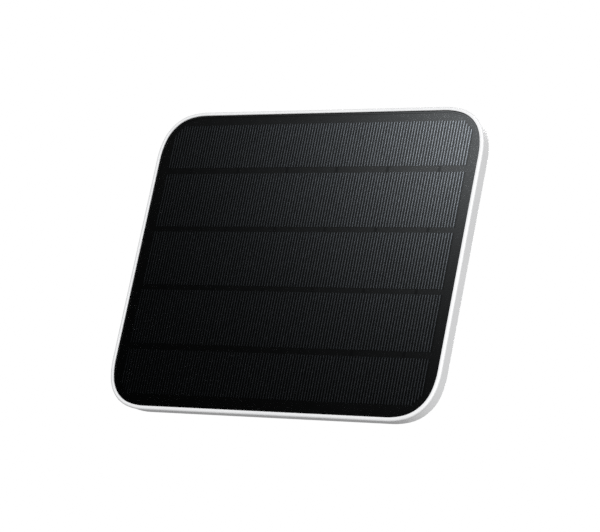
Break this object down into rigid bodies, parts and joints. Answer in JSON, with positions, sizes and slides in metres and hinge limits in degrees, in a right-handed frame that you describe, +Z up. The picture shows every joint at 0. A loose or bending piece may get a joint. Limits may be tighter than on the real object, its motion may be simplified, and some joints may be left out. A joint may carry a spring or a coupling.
{
  "type": "solar panel",
  "caption": "Small outdoor solar panel: dark cell laminate in a slim white rounded housing, threaded rear mount and a socket under a hinged door.",
  "frame": {"origin": "mouth of the threaded mounting insert, at the middle of the back", "axes": "+Y out of the back along the insert, +X along the long side, +Z up the short side; the dark face looks to -Y"},
  "size_m": [0.18, 0.018, 0.149],
  "materials": {
    "white_plastic": "satin moulded",
    "front_film": "satin, clear over dark cells",
    "clear_film": "clear, over black",
    "black_plate": "matt",
    "solar_cell": "satin",
    "black_ribbon": "black coated",
    "tinned_ribbon": "tinned",
    "foam_tape": "foam",
    "brass": "machined",
    "seal_rubber": "matt",
    "screw_steel": "zinc plated",
    "vent_film": "matt",
    "board_green": "solder mask",
    "ferrite": "matt",
    "chip_black": "moulded",
    "capacitor_tan": "fired",
    "socket_steel": "nickel plated",
    "lead_red": "soft sleeve",
    "lead_black": "soft sleeve"
  },
  "bodies": {
    "panel": {"front_bezel": "white_plastic", "main_housing": "white_plastic", "rear_cover": "white_plastic", "front_sheet": "front_film", "front_encapsulant": "clear_film", "rear_encapsulant": "clear_film", "cell_plate": "black_plate", "cell_row_1": "solar_cell", "cell_row_2": "solar_cell", "cell_row_3": "solar_cell", "cell_row_4": "solar_cell", "cell_row_5": "solar_cell", "cell_tabs": "black_ribbon", "bus_ribbons": "tinned_ribbon", "bonding_gasket": "foam_tape", "mount_insert": "brass", "cover_seal": "seal_rubber", "cover_screws": "screw_steel", "board_screws": "screw_steel", "door_hinge_pin": "screw_steel", "vent_membrane": "vent_film", "circuit_board": "board_green", "power_inductor": "ferrite", "control_chip": "chip_black", "blocking_diode": "chip_black", "output_capacitors": "capacitor_tan", "usb_shell": "socket_steel", "usb_tongue": "chip_black", "lead_positive": "lead_red", "lead_negative": "lead_black"},
    "door": {"port_door": "white_plastic", "port_door_seal": "seal_rubber"}
  },
  "joints": [
    {"name": "port_door_hinge", "type": "hinge", "parent": "panel", "child": "door", "pos_m": [-0.0102, -0.0051, -0.0627], "axis": [0, 1, 0], "range_deg": [0, 100]}
  ]
}
